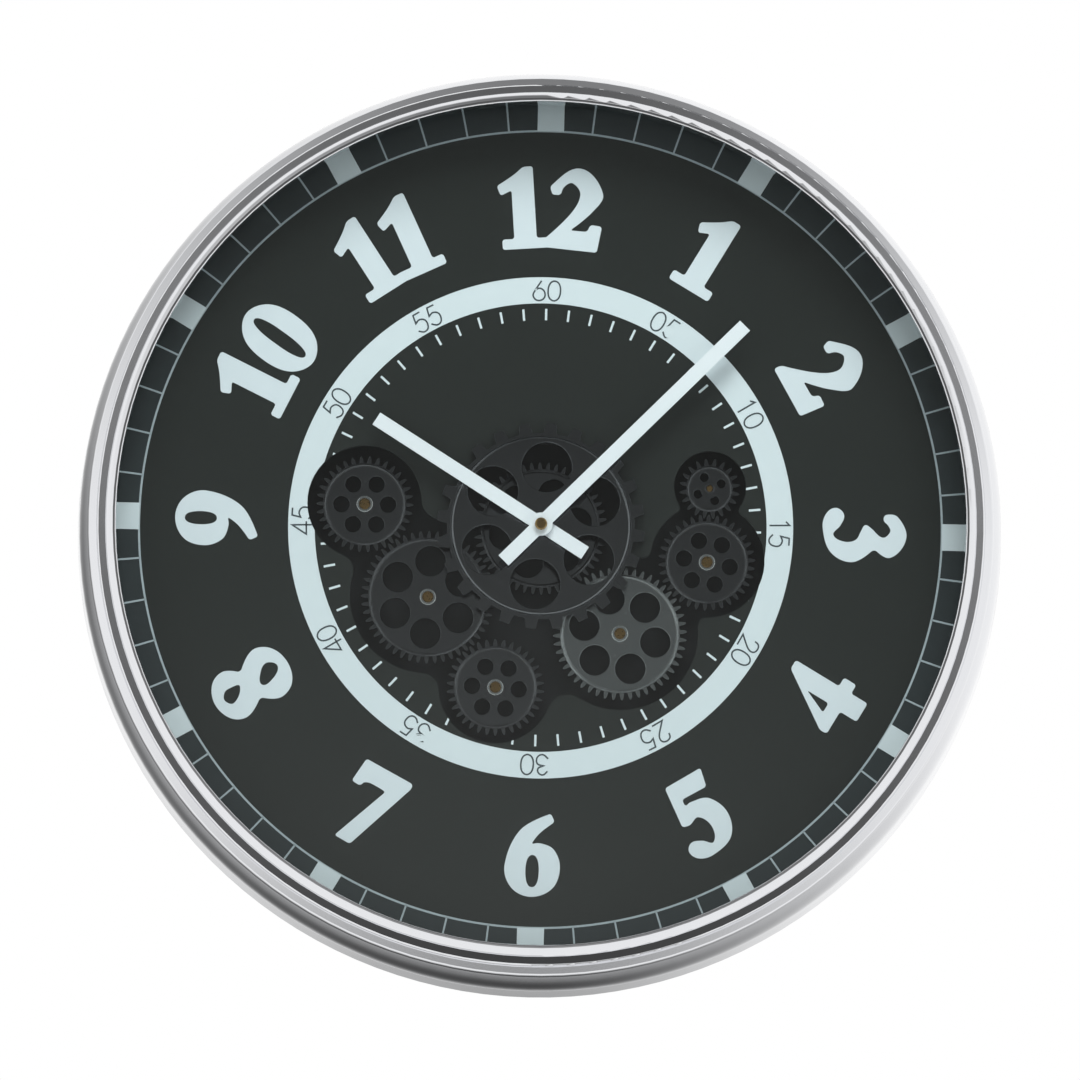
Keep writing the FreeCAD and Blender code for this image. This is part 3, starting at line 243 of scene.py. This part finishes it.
RING = polished_ring()
NICKEL = dark_nickel("black_nickel_plate", "#77777b", 0.10, 0.2)
# Painted reflection: the bottom-right gear is the same black nickel, given a paler base colour to
# stand in for the brighter surroundings its flat face mirrors.
NICKEL_PAINTED_REFLECTION = dark_nickel("black_nickel_painted_reflection", "#b4b6b9", 0.16, 0.26)
BUSH = bright_plate()
BRASS = turned_brass()
ZINC = zinc_steel()
DIAL_PAINT = satin_paint("dial_satin_paint", "#252726", "#222524", 0.42)
BLACK_PAINT = satin_paint("black_enamel_on_steel", "#1b1b1d", "#222224", 0.5)
HAND_PAINT = satin_paint("white_hand_enamel", "#eef0f6", "#e8ebf2", 0.35, speck_mm=0.4)
FRAME_PLASTIC = moulded_plastic("black_moulded_plastic", "#202124", "#292a2d", 0.45)
SWITCH_PLASTIC = moulded_plastic("grey_moulded_plastic", "#6b6c6f", "#5f6063", 0.5)
CELL_SLEEVE = moulded_plastic("cell_film_sleeve", "#31434c", "#2b3a42", 0.25)
GLASS = clear_glass()
INK_WHITE = printed_ink("white_ink", "#dfe6ec", "#d8e0e7")
INK_NUMERAL = printed_ink("numeral_ink", "#dfe5ec", "#d9e0e8")
INK_TRACK = printed_ink("track_ink", "#b6bfc6", "#aab4bc")
INK_CELL = printed_ink("track_ground_ink", "#2f3538", "#2b3134")
INK_GREY = printed_ink("ring_numeral_ink", "#3f464c", "#474e54")
FELT = felt()

FINISHES = {
    "case_ring": RING, "front_glass": GLASS, "dial_plate": DIAL_PAINT, "gear_bed": BLACK_PAINT,
    "back_cover": BLACK_PAINT, "minute_hand": HAND_PAINT, "hour_hand": HAND_PAINT,
    # The bottom-right gear takes the paler nickel copy, a painted reflection.
    "wall_pads": FELT, "bot_right_gear": NICKEL_PAINTED_REFLECTION, "switch_slider": SWITCH_PLASTIC,
    "clock_cell": CELL_SLEEVE, "motor_cell": CELL_SLEEVE, "inner_frame": FRAME_PLASTIC,
    "quartz_housing": FRAME_PLASTIC, "motor_housing": FRAME_PLASTIC, "set_knob": FRAME_PLASTIC,
    "cup_gear": NICKEL, "centre_sleeve": NICKEL, "top_right_bush": NICKEL,
}
FINISHES_BY_ENDING = {
    "_gear": NICKEL, "_bush": BUSH, "_post": BRASS, "_arbor": BRASS, "_nut": BRASS,
    "_tube": BRASS, "_screws": ZINC, "_clips": ZINC, "_rivets": ZINC, "_standoffs": ZINC,
    "_plate": ZINC, "_washer": ZINC, "_contacts": ZINC,
}


def give_finish(item, material):
    item.data.materials.clear()
    item.data.materials.append(material)


for name, item in nodes.items():
    ending = "_" + name.rsplit("_", 1)[-1]
    give_finish(item, FINISHES.get(name) or FINISHES_BY_ENDING[ending])


# Dial print ----------------------------------------------------------------------------------
# Printed pieces lie on the dial's front face.  Their outlines are drawn with x to the right and
# y up, in metres from the hands' axis.

DIAL_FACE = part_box("dial_plate")[0].y
INK_FILM = 0.05 * MM
RING_INNER = 111.4 * MM
RING_OUTER = 124.5 * MM
TICK_INNER = 103.0 * MM
TICK_OUTER = 108.7 * MM
TICK_WIDTH = 1.1 * MM
TRACK_INNER = 197.9 * MM
TRACK_OUTER = 212.2 * MM
TRACK_LINE = 1.0 * MM
TRACK_BAR = 0.9 * MM
HOUR_BLOCK = 13.2 * MM
NUMERAL_HEIGHT = 41.2 * MM
NUMERAL_RADIUS = 159.6 * MM
TURNED_NUMERAL_RADIUS = 162.1 * MM
RING_NUMERAL_HEIGHT = 9.9 * MM
RING_NUMERAL_RADIUS = 117.8 * MM
RING_NUMERAL_STROKE = 0.8 * MM


def flat_mesh(name, loops, front, depth):
    """Fills closed loops (holes inside outlines) and gives them a little depth."""
    curve = bpy.data.curves.new(name, "CURVE")
    curve.dimensions = "2D"
    curve.fill_mode = "BOTH"
    curve.extrude = depth / 2
    for loop in loops:
        spline = curve.splines.new("POLY")
        spline.points.add(len(loop) - 1)
        for point, (x, y) in zip(spline.points, loop):
            point.co = (x, y, 0, 1)
        spline.use_cyclic_u = True
    holder = bpy.data.objects.new(name, curve)
    bpy.context.scene.collection.objects.link(holder)
    mesh = bpy.data.meshes.new_from_object(holder.evaluated_get(
        bpy.context.evaluated_depsgraph_get()))
    bpy.data.objects.remove(holder)
    mesh.transform(Matrix.Translation((0, front + depth / 2, 0)) @ Matrix.Rotation(
        math.radians(90), 4, "X"))
    piece = bpy.data.objects.new(name, mesh)
    bpy.context.scene.collection.objects.link(piece)
    return piece


def print_piece(name, loops, ink, layer=1):
    """A printed area; a higher layer lies over a lower one."""
    depth = INK_FILM * layer
    piece = flat_mesh(name, loops, DIAL_FACE - depth, depth)
    give_finish(piece, ink)
    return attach(piece, "case")


def circle_loop(radius, steps=360, x=0.0, y=0.0):
    turn = 2 * math.pi / steps
    return [(x + radius * math.cos(turn * s), y + radius * math.sin(turn * s))
            for s in range(steps)]


def on_dial(points, clockwise, radius=0.0, turned=False):
    """Moves a small drawing out to a radius at an angle clockwise from twelve."""
    angle = -math.radians(clockwise)
    spin = angle + (math.pi if turned else 0)
    across, up = math.cos(spin), math.sin(spin)
    cx, cy = -math.sin(angle) * radius, math.cos(angle) * radius
    return [(cx + x * across - y * up, cy + x * up + y * across) for x, y in points]


def bar_loop(inner, outer, width, clockwise):
    half = width / 2
    return on_dial([(-half, inner), (half, inner), (half, outer), (-half, outer)], clockwise)


# Numerals: outlines in hundredths of the numeral's height.  A plain pair is a corner, which is
# rounded a little; a pair marked S is a smooth point of a curve.

S = "s"
ONE = [[(3, 0), (58, 0), (58, 12.5), (44.5, 12.5), (44.5, 100), (33, 100), (20, 90, S), (0, 78),
        (4, 66), (17.5, 72), (17.5, 12.5), (3, 12.5)]]
TWO = [[(0, 0), (65, 0), (68, 32), (54, 33), (51, 24), (30.5, 23.5), (54, 48, S), (65, 72, S),
        (35, 100, S), (2.5, 76, S), (3.5, 65), (14, 65), (18, 76, S), (27.5, 81, S),
        (38, 68, S), (29, 44, S), (0, 9)]]
THREE = [[(24, 0, S), (54, 10, S), (65.5, 36, S), (50, 62), (59, 82, S), (35, 100.5, S),
          (10, 90, S), (7.5, 76, S), (14, 73, S), (21, 79, S), (28, 81, S), (35, 72, S),
          (24, 58, S), (20.5, 51, S), (28, 46, S), (38.5, 40, S), (41, 26, S), (33, 13, S),
          (22, 21, S), (9, 25.5, S), (0.5, 16, S), (7, 4.5, S)]]
FOUR = [[(31.5, 0), (57, 0), (57, 23), (69, 23), (69, 40), (57, 40), (57, 100), (45, 100),
         (0, 32), (1, 23), (31.5, 23)], [(33, 40), (33, 70), (20, 40)]]
FIVE = [[(24, 0, S), (53, 9, S), (63.5, 36, S), (52, 62, S), (31, 68, S), (22.5, 66.5),
         (23, 75.5), (56, 75.5), (60.5, 98.5), (11.5, 97), (7.5, 46), (17, 44.5, S),
         (30, 48, S), (39, 31, S), (32, 13.5, S), (21, 21, S), (8, 25, S), (0.5, 16.5, S),
         (7, 4.5, S)]]
SIX = [[(33, 0, S), (58, 11, S), (66, 36, S), (58, 57, S), (42, 64, S), (31, 63), (41, 76, S),
        (58.5, 90), (53.5, 100), (17.5, 79, S), (0, 36, S), (9, 10, S)],
       [(33, 11.5, S), (25, 31, S), (33, 50, S), (41, 31, S)]]
SEVEN = [[(16.5, 0), (37.5, 0.5), (66, 95), (64, 100), (1.5, 97.5), (0, 66), (11.5, 66),
          (14, 72, S), (21, 75, S), (41.5, 75.5)]]
EIGHT = [[(36.5, 0, S), (60, 9, S), (67.5, 28, S), (55, 51.5), (66, 73, S), (57, 93, S),
          (33, 100, S), (9, 91, S), (0, 70, S), (16, 45), (6, 26, S), (14, 8, S)],
         [(31, 87.5, S), (41.5, 76, S), (42, 60.5, S), (27, 67, S), (21.5, 78, S)],
         [(31, 36.5, S), (27.5, 26, S), (29, 17, S), (38, 12.5, S), (45.5, 21, S)]]
NINE = [[(66 - p[0], 100 - p[1]) + tuple(p[2:]) for p in loop] for loop in SIX]
NOUGHT = [[(33, 0, S), (58, 15, S), (66, 50, S), (58, 85, S), (33, 100, S), (8, 85, S),
           (0, 50, S), (8, 15, S)],
          [(33, 12, S), (26.5, 22, S), (24.5, 50, S), (26.5, 78, S), (33, 88, S), (39.5, 78, S),
           (41.5, 50, S), (39.5, 22, S)]]
DIGITS = {"0": NOUGHT, "1": ONE, "2": TWO, "3": THREE, "4": FOUR, "5": FIVE, "6": SIX,
          "7": SEVEN, "8": EIGHT, "9": NINE}
CORNER_ROUND = 3.2
CORNER_LIMIT = 0.45
CORNER_PULL = 0.55
CURVE_STEPS = 8
SHORT_HANDLE = 0.01
STROKE_STEPS = 6


def curve_point(a, b, c, d, t):
    """Point of a cubic through its two handles."""
    u = 1 - t
    return a * u ** 3 + b * 3 * u * u * t + c * 3 * u * t * t + d * t ** 3


def smooth_loop(points, corner=CORNER_ROUND, steps=CURVE_STEPS):
    """Runs one line through the points: rounded at corners, flowing at smooth points."""
    count = len(points)
    spots = [Vector(p[:2]) for p in points]
    anchors = []
    for place, point in enumerate(points):
        before, here, after = spots[place - 1], spots[place], spots[(place + 1) % count]
        if len(point) == 3:
            way = (after - before).normalized()
            anchors.append((here, -way * (here - before).length / 3,
                            way * (after - here).length / 3))
            continue
        back, ahead = before - here, after - here
        cut_back = min(corner, back.length * CORNER_LIMIT)
        cut_ahead = min(corner, ahead.length * CORNER_LIMIT)
        back.normalize()
        ahead.normalize()
        anchors.append((here + back * cut_back, back * SHORT_HANDLE,
                        -back * cut_back * CORNER_PULL))
        anchors.append((here + ahead * cut_ahead, -ahead * cut_ahead * CORNER_PULL,
                        ahead * SHORT_HANDLE))
    loop = []
    for place, (start, _, leave) in enumerate(anchors):
        end, arrive, _ = anchors[(place + 1) % len(anchors)]
        straight = max(leave.length, arrive.length) < 2 * SHORT_HANDLE
        for step in range(1 if straight else steps):
            point = curve_point(start, start + leave, end + arrive, end, step / steps)
            loop.append((point.x, point.y))
    return loop


def digit_loops(digit, height):
    """One digit's loops, centred on its own middle."""
    outline = DIGITS[digit]
    scale = height / 100
    middle = max(p[0] for p in outline[0]) / 2
    return [[((x - middle) * scale, (y - 50) * scale) for x, y in smooth_loop(loop)]
            for loop in outline]


DIGIT_SPACING = {"10": 25.5 * MM, "11": 23.6 * MM, "12": 26.5 * MM}


def hour_numerals():
    """Bold numerals; those from four to eight stand with their tops to the middle."""
    for hour in range(1, 13):
        turned = 4 <= hour <= 8
        radius = TURNED_NUMERAL_RADIUS if turned else NUMERAL_RADIUS
        text = str(hour)
        spread = math.degrees(DIGIT_SPACING.get(text, 0) / radius)
        for place, digit in enumerate(text):
            clockwise = 30 * hour + spread * (place - (len(text) - 1) / 2)
            loops = [on_dial(loop, clockwise, radius, turned)
                     for loop in digit_loops(digit, NUMERAL_HEIGHT)]
            print_piece(f"numeral_{hour}_{place + 1}", loops, INK_NUMERAL, layer=1 + place)


# Ring numerals: centre lines of thin strokes, in hundredths of the numeral's height.

THIN_DIGITS = {
    "0": ([[(31, 0, S), (54, 14, S), (62, 50, S), (54, 86, S), (31, 100, S), (8, 86, S),
            (0, 50, S), (8, 14, S)]], True),
    "1": ([[(12, 82), (31, 100), (31, 0)]], False),
    "2": ([[(3, 70, S), (10, 92, S), (31, 100, S), (52, 92, S), (57, 73, S), (46, 50, S),
            (1, 0), (60, 0)]], False),
    "3": ([[(6, 82, S), (28, 100, S), (51, 90, S), (52, 67, S), (26, 55), (54, 46, S),
            (60, 24, S), (48, 4, S), (26, 0, S), (2, 20, S)]], False),
    "4": ([[(47, 0), (47, 98), (0, 27), (64, 27)]], False),
    "5": ([[(54, 99), (17, 99), (9, 56), (32, 65, S), (56, 53, S), (60, 28, S), (48, 4, S),
            (25, 0, S), (2, 17, S)]], False),
    "6": ([[(44, 100), (12, 52, S), (1, 28, S), (12, 6, S), (32, 0, S), (53, 9, S),
            (61, 31, S), (51, 54, S), (31, 62, S), (12, 52, S)]], False),
}


def smooth_line(points, closed, steps=STROKE_STEPS):
    """Open or closed centre line through corners and smooth points."""
    spots = [Vector(p[:2]) for p in points]
    count = len(points)
    line = []
    for place in range(count if closed else count - 1):
        start, end = spots[place], spots[(place + 1) % count]
        reach = (end - start).length / 3
        leave, arrive = (end - start).normalized() * reach, (start - end).normalized() * reach
        if len(points[place]) == 3 and (closed or place > 0):
            leave = (end - spots[place - 1]).normalized() * reach
        after = (place + 1) % count
        if len(points[after]) == 3 and (closed or after < count - 1):
            arrive = (start - spots[(after + 1) % count]).normalized() * reach
        for step in range(steps):
            line.append(curve_point(start, start + leave, end + arrive, end, step / steps))
    if not closed:
        line.append(spots[-1])
    return line


def stroke_loops(line, width, closed):
    """Outline of a stroke drawn along a line: one loop, or two where the line is closed."""
    count = len(line)
    left, right = [], []
    for place, point in enumerate(line):
        before = line[place - 1] if closed or place else point
        after = line[(place + 1) % count] if closed or place < count - 1 else point
        first = (point - before).normalized() if before != point else (after - point).normalized()
        second = (after - point).normalized() if after != point else first
        way = (first + second).normalized()
        aside = Vector((-way.y, way.x))
        reach = width / 2 / max(0.35, aside.dot(Vector((-second.y, second.x))))
        left.append(tuple(point + aside * reach))
        right.append(tuple(point - aside * reach))
    return [left, right] if closed else [left + right[::-1]]


def ring_numerals(trim):
    """Thin numerals of the minutes, on the white ring, all with their tops outwards."""
    height = RING_NUMERAL_HEIGHT
    for step in range(12):
        text = f"{(step * 5) or 60:02d}"
        for place, digit in enumerate(text):
            lines, closed = THIN_DIGITS[digit]
            spread = math.degrees(height * 0.76 / RING_NUMERAL_RADIUS)
            clockwise = 30 * step + spread * (place - 0.5)
            loops = []
            for points in lines:
                line = [(p - Vector((31, 50))) * (height / 100)
                        for p in smooth_line(points, closed)]
                loops += stroke_loops(line, RING_NUMERAL_STROKE, closed)
            loops = [on_dial(loop, clockwise, RING_NUMERAL_RADIUS) for loop in loops]
            piece = print_piece(f"ring_numeral_{text}_{place + 1}", loops, INK_GREY, layer=2)
            if text == "45":
                trim(piece)


def window_loop():
    """The window's edge as one ordered loop."""
    mesh = nodes["dial_plate"].data
    wall_edges = {}
    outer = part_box("dial_plate")[1].x - 2 * MM
    for face in mesh.polygons:
        if abs(face.normal.y) > 0.5:
            continue
        corners = [mesh.vertices[v].co for v in face.vertices]
        front = [c for c in corners if abs(c.y - DIAL_FACE) < 0.01 * MM]
        if len(front) < 2 or math.hypot(front[0].x, front[0].z) > outer:
            continue
        keys = [(round(c.x, 6), round(c.z, 6)) for c in front[:2]]
        if keys[0] != keys[1]:
            wall_edges.setdefault(keys[0], set()).add(keys[1])
            wall_edges.setdefault(keys[1], set()).add(keys[0])
    start = next(iter(wall_edges))
    loop, last = [start], None
    while True:
        steps = [k for k in wall_edges[loop[-1]] if k != last]
        last = loop[-1]
        if not steps or steps[0] == start:
            return loop
        loop.append(steps[0])


def make_trim():
    """Returns a prism through the window, and a function that cuts a printed piece with it."""
    depth = 4 * MM
    cutter = flat_mesh("window_prism", [window_loop()], DIAL_FACE - depth / 2, depth)

    def trim(piece):
        cut = piece.modifiers.new("window", "BOOLEAN")
        cut.operation = "DIFFERENCE"
        cut.solver = "EXACT"
        cut.object = cutter
        bpy.context.view_layer.update()
        mesh = bpy.data.meshes.new_from_object(piece.evaluated_get(
            bpy.context.evaluated_depsgraph_get()))
        piece.modifiers.clear()
        piece.data = mesh

    return cutter, trim


def dial_print():
    cutter, trim = make_trim()
    trim(print_piece("minute_ring", [circle_loop(RING_OUTER), circle_loop(RING_INNER)],
                     INK_WHITE))
    ticks = [bar_loop(TICK_INNER, TICK_OUTER, TICK_WIDTH, 6 * step) for step in range(60)]
    trim(print_piece("inner_ticks", ticks, INK_WHITE))
    ring_numerals(trim)
    bpy.data.objects.remove(cutter)
    hour_numerals()
    print_piece("track_ground", [circle_loop(TRACK_OUTER), circle_loop(TRACK_INNER)], INK_CELL)
    half = TRACK_LINE / 2
    print_piece("track_inner_line", [circle_loop(TRACK_INNER + half),
                                     circle_loop(TRACK_INNER - half)], INK_TRACK, layer=2)
    bars = [bar_loop(TRACK_INNER, TRACK_OUTER, TRACK_BAR, 6 * step)
            for step in range(60) if step % 5]
    print_piece("track_minute_bars", bars, INK_TRACK, layer=2)
    blocks = [bar_loop(TRACK_INNER, TRACK_OUTER, HOUR_BLOCK, 30 * step) for step in range(12)]
    print_piece("track_hour_blocks", blocks, INK_WHITE, layer=3)


dial_print()


# Studio --------------------------------------------------------------------------------------

# Metres, degrees and, for the lens, millimetres.
CAMERA_DISTANCE = 3.3
CAMERA_BELOW = 7.0
CAMERA_LEFT = 0.6
CAMERA_ROLL = 1.45
FOCAL_LENGTH = 223.2
SENSOR_WIDTH = 36
VIEW_END = 50
FLOOR_REACH = 6.0
FLOOR_LEVEL = -1.2
AIM = Vector((-0.0002, DIAL_FACE, -0.0066))


def camera():
    """Long lens a little below the clock, looking up at it."""
    lens = bpy.data.cameras.new("camera")
    lens.lens = FOCAL_LENGTH
    lens.sensor_width = SENSOR_WIDTH
    lens.clip_end = VIEW_END
    holder = bpy.data.objects.new("camera", lens)
    bpy.context.scene.collection.objects.link(holder)
    tilt, side = math.radians(CAMERA_BELOW), math.radians(CAMERA_LEFT)
    turn = Euler((math.radians(90) + tilt, 0, -side)).to_matrix().to_4x4()
    back = turn.to_3x3() @ Vector((0, 0, CAMERA_DISTANCE))
    roll = Matrix.Rotation(math.radians(CAMERA_ROLL), 4, "Z")
    holder.matrix_world = Matrix.Translation(AIM + back) @ turn @ roll
    bpy.context.scene.camera = holder


# Brightness of the room by the angle from the clock's own axis (0 in front, 180 behind), in
# four directions round it.  The dark patch in front is the unlit end of the studio.
ROOM = {
    "up": [(0, 0.45), (3, 0.4), (8, 0.07), (26, 0.07), (36, 0.3), (62, 0.2), (80, 0.15),
           (92, 1.4), (140, 1.3), (180, 1.2)],
    "right": [(0, 0.45), (3, 0.3), (8, 0.06), (22, 0.07), (34, 1.2), (100, 1.4), (150, 1.1),
              (180, 1.2)],
    "down": [(0, 0.45), (3, 0.3), (8, 0.04), (30, 0.04), (44, 1.3), (118, 1.4), (134, 0.04),
             (160, 0.03), (170, 0.6), (180, 0.7)],
    "left": [(0, 0.45), (3, 0.45), (8, 0.1), (22, 0.07), (34, 1.2), (118, 1.4), (138, 0.15),
             (160, 0.15), (170, 1.1), (180, 1.2)],
}


def surroundings():
    """White studio that the camera sees as plain white; what shines reflects ROOM instead."""
    world = bpy.data.worlds.new("studio")
    bpy.context.scene.world = world
    world.use_nodes = True
    tree = world.node_tree
    tree.nodes.clear()
    way = node(tree, "ShaderNodeTexCoord").outputs["Generated"]
    parts = node(tree, "ShaderNodeSeparateXYZ", Vector=way).outputs
    front = node(tree, "ShaderNodeMath", {"operation": "MULTIPLY"}, i0=parts["Y"], i1=-1.0)
    angle = node(tree, "ShaderNodeMath", {"operation": "ARCCOSINE"}, i0=front.outputs[0])
    share = node(tree, "ShaderNodeMath", {"operation": "DIVIDE"}, i0=angle.outputs[0],
                 i1=math.pi).outputs[0]
    ramps = {}
    for name, stops in ROOM.items():
        ramp = node(tree, "ShaderNodeValToRGB", Fac=share)
        ramp.color_ramp.interpolation = "B_SPLINE"
        elements = ramp.color_ramp.elements
        while len(elements) < len(stops):
            elements.new(0.5)
        for element, (degrees, light) in zip(elements, stops):
            element.position = degrees / 180
            element.color = (light, light, light, 1)
        ramps[name] = ramp.outputs["Color"]
    squares = {}
    for axis in ("X", "Z"):
        squares[axis] = node(tree, "ShaderNodeMath", {"operation": "MULTIPLY"}, i0=parts[axis],
                             i1=parts[axis]).outputs[0]
    both = node(tree, "ShaderNodeMath", {"operation": "ADD"}, i0=squares["X"], i1=squares["Z"])
    upright = node(tree, "ShaderNodeMath", {"operation": "DIVIDE"}, i0=squares["Z"],
                   i1=both.outputs[0]).outputs[0]
    rises = node(tree, "ShaderNodeMath", {"operation": "GREATER_THAN"}, i0=parts["Z"], i1=0.0)
    rightward = node(tree, "ShaderNodeMath", {"operation": "GREATER_THAN"}, i0=parts["X"],
                     i1=0.0)
    tall = tinted(tree, rises.outputs[0], ramps["down"], ramps["up"])
    wide = tinted(tree, rightward.outputs[0], ramps["left"], ramps["right"])
    light = tinted(tree, upright, wide, tall)
    seen = node(tree, "ShaderNodeLightPath").outputs["Is Camera Ray"]
    white = node(tree, "ShaderNodeBackground", Color=linear("#ffffff"), Strength=1.0)
    room = node(tree, "ShaderNodeBackground", Color=light, Strength=1.0)
    blend = node(tree, "ShaderNodeMixShader", i0=seen, i1=room.outputs[0], i2=white.outputs[0])
    output = node(tree, "ShaderNodeOutputWorld")
    tree.links.new(blend.outputs[0], output.inputs["Surface"])


def soft_box(name, toward, distance, width, height, power):
    """Soft light that faces the clock from a direction."""
    light = bpy.data.lights.new(name, "AREA")
    light.shape = "RECTANGLE"
    light.size = width
    light.size_y = height
    light.energy = power
    holder = bpy.data.objects.new(name, light)
    bpy.context.scene.collection.objects.link(holder)
    way = Vector(toward).normalized()
    holder.location = way * distance
    holder.rotation_euler = way.to_track_quat("Z", "Y").to_euler()
    holder.visible_glossy = False


def floor():
    """Pale sweep well below the clock."""
    mesh = bpy.data.meshes.new("floor")
    reach, level = FLOOR_REACH, FLOOR_LEVEL
    mesh.from_pydata([(-reach, -reach, level), (reach, -reach, level), (reach, reach, level),
                      (-reach, reach, level)], [], [(0, 1, 2, 3)])
    piece = bpy.data.objects.new("floor", mesh)
    bpy.context.scene.collection.objects.link(piece)
    give_finish(piece, satin_paint("pale_floor_paint", "#f2f3f4", "#eeeff0", 0.7))
    piece.visible_glossy = False


camera()
surroundings()
floor()
soft_box("top_front", toward=(0.15, -0.75, 1.0), distance=2.2, width=1.6, height=0.9, power=62)
bpy.context.scene.view_settings.view_transform = "Standard"
